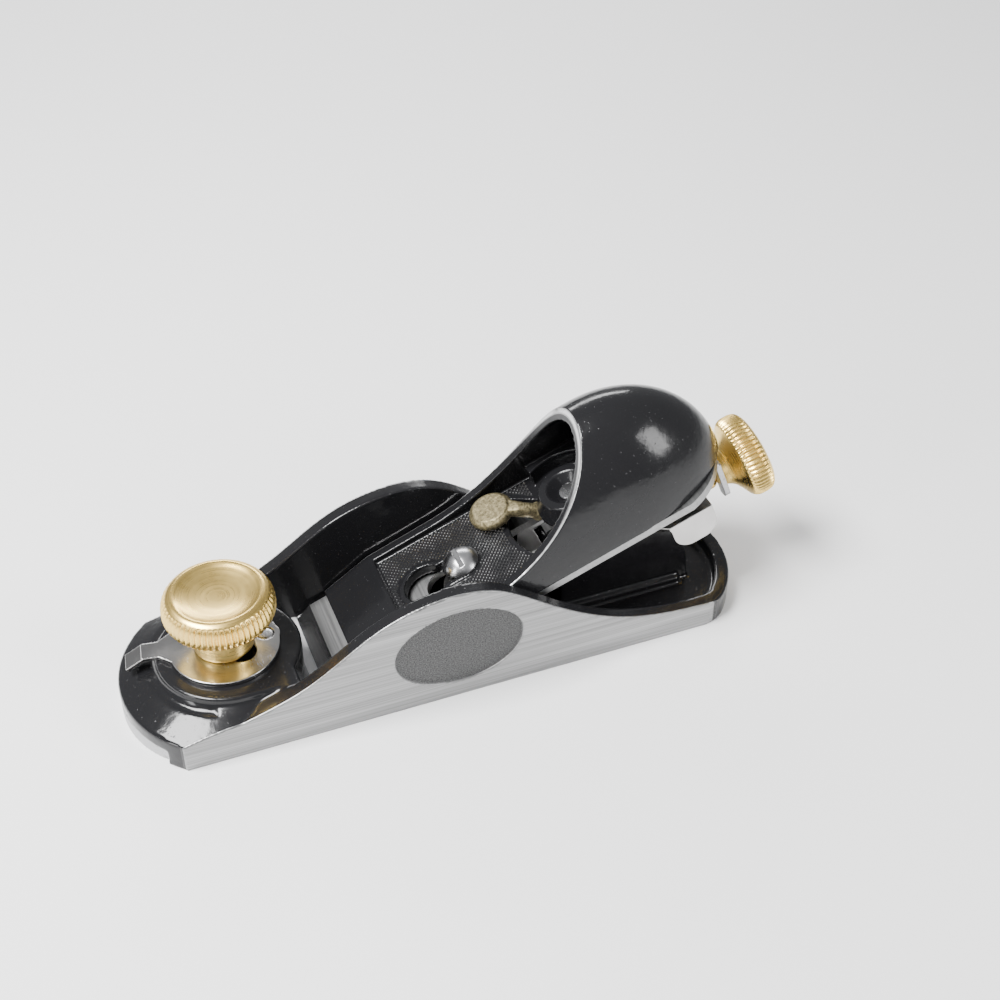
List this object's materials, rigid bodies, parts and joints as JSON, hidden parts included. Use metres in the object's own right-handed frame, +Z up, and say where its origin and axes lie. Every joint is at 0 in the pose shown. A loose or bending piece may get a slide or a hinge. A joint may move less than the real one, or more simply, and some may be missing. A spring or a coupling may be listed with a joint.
{
  "type": "hand plane",
  "caption": "Low metal block plane: open casting with ground sides, sloping blade, humped palm-rest lever cap, brass finger and depth knobs, sliding toe plate at the mouth.",
  "frame": {"origin": "on the sole, on the centre line, at the middle of the body casting's length", "axes": "+X towards the toe, +Y to the plane's left, +Z up from the sole"},
  "size_m": [0.1704, 0.0446, 0.0619],
  "materials": {
    "japan": "gloss",
    "cap_enamel": "gloss",
    "zinc_plate": "satin",
    "stud_steel": "satin",
    "nickel_plate": "polished",
    "blade_steel": "ground",
    "brass": "satin",
    "screw_brass": "satin",
    "cam_bronze": "cast",
    "bright_steel": "polished"
  },
  "bodies": {
    "base": {"body_casting": "japan", "eccentric_pivot": "bright_steel"},
    "mouth": {"toe_plate": "zinc_plate", "toe_plate_stud": "stud_steel"},
    "finger_grip": {"finger_knob": "brass"},
    "eccentric": {"eccentric_lever": "nickel_plate"},
    "yoke": {"lateral_yoke": "nickel_plate"},
    "slide": {"adjuster_slide": "zinc_plate"},
    "depth_wheel": {"depth_knob": "brass", "adjusting_screw": "screw_brass"},
    "iron": {"blade": "blade_steel"},
    "cap": {"lever_cap": "cap_enamel", "cam_rivet": "bright_steel"},
    "cam": {"cam_lever": "cam_bronze"},
    "clamp_screw": {"cap_screw": "bright_steel"}
  },
  "joints": [
    {"name": "eccentric_swing", "type": "hinge", "parent": "base", "child": "eccentric", "pos_m": [0.0433, 0, 0.0146], "axis": [0, 0, 1], "range_deg": [-25, 25]},
    {"name": "mouth_slide", "type": "slide", "parent": "base", "child": "mouth", "axis": [1, 0, 0], "range_m": [-0.002, 0.002]},
    {"name": "finger_knob_turn", "type": "hinge", "parent": "mouth", "child": "finger_grip", "pos_m": [0.0533, 0, 0.0154], "axis": [0, 0, 1], "range_deg": [-180, 180]},
    {"name": "lateral_swing", "type": "hinge", "parent": "base", "child": "yoke", "pos_m": [-0.00944, 0, 0.01483], "axis": [0.3584, 0, 0.9336], "range_deg": [-1.2, 1.2]},
    {"name": "depth_travel", "type": "slide", "parent": "base", "child": "slide", "axis": [-0.9336, 0, 0.3584], "range_m": [-0.001, 0.003]},
    {"name": "depth_knob_turn", "type": "hinge", "parent": "slide", "child": "depth_wheel", "pos_m": [-0.08189, 0, 0.03258], "axis": [-0.9336, 0, 0.3584], "range_deg": [-360, 1080]},
    {"name": "blade_swing", "type": "hinge", "parent": "slide", "child": "iron", "pos_m": [-0.00872, 0, 0.0167], "axis": [0.3584, 0, 0.9336], "range_deg": [-1.2, 1.2]},
    {"name": "cap_release", "type": "slide", "parent": "base", "child": "cap", "axis": [-0.9336, 0, 0.3584], "range_m": [0, 0.01]},
    {"name": "cam_swing", "type": "hinge", "parent": "cap", "child": "cam", "pos_m": [-0.03716, 0, 0.0319], "axis": [0.3584, 0, 0.9336], "range_deg": [0, 48]},
    {"name": "cap_screw_turn", "type": "hinge", "parent": "base", "child": "clamp_screw", "pos_m": [-0.00729, 0, 0.02044], "axis": [0.3584, 0, 0.9336], "range_deg": [-360, 360]}
  ],
  "couplings": [
    {"joint": "eccentric_swing", "follows": "mouth_slide", "rad_per_m": 218.15},
    {"joint": "depth_knob_turn", "follows": "depth_travel", "rad_per_m": 6283.2},
    {"joint": "blade_swing", "follows": "lateral_swing", "ratio": 1}
  ]
}
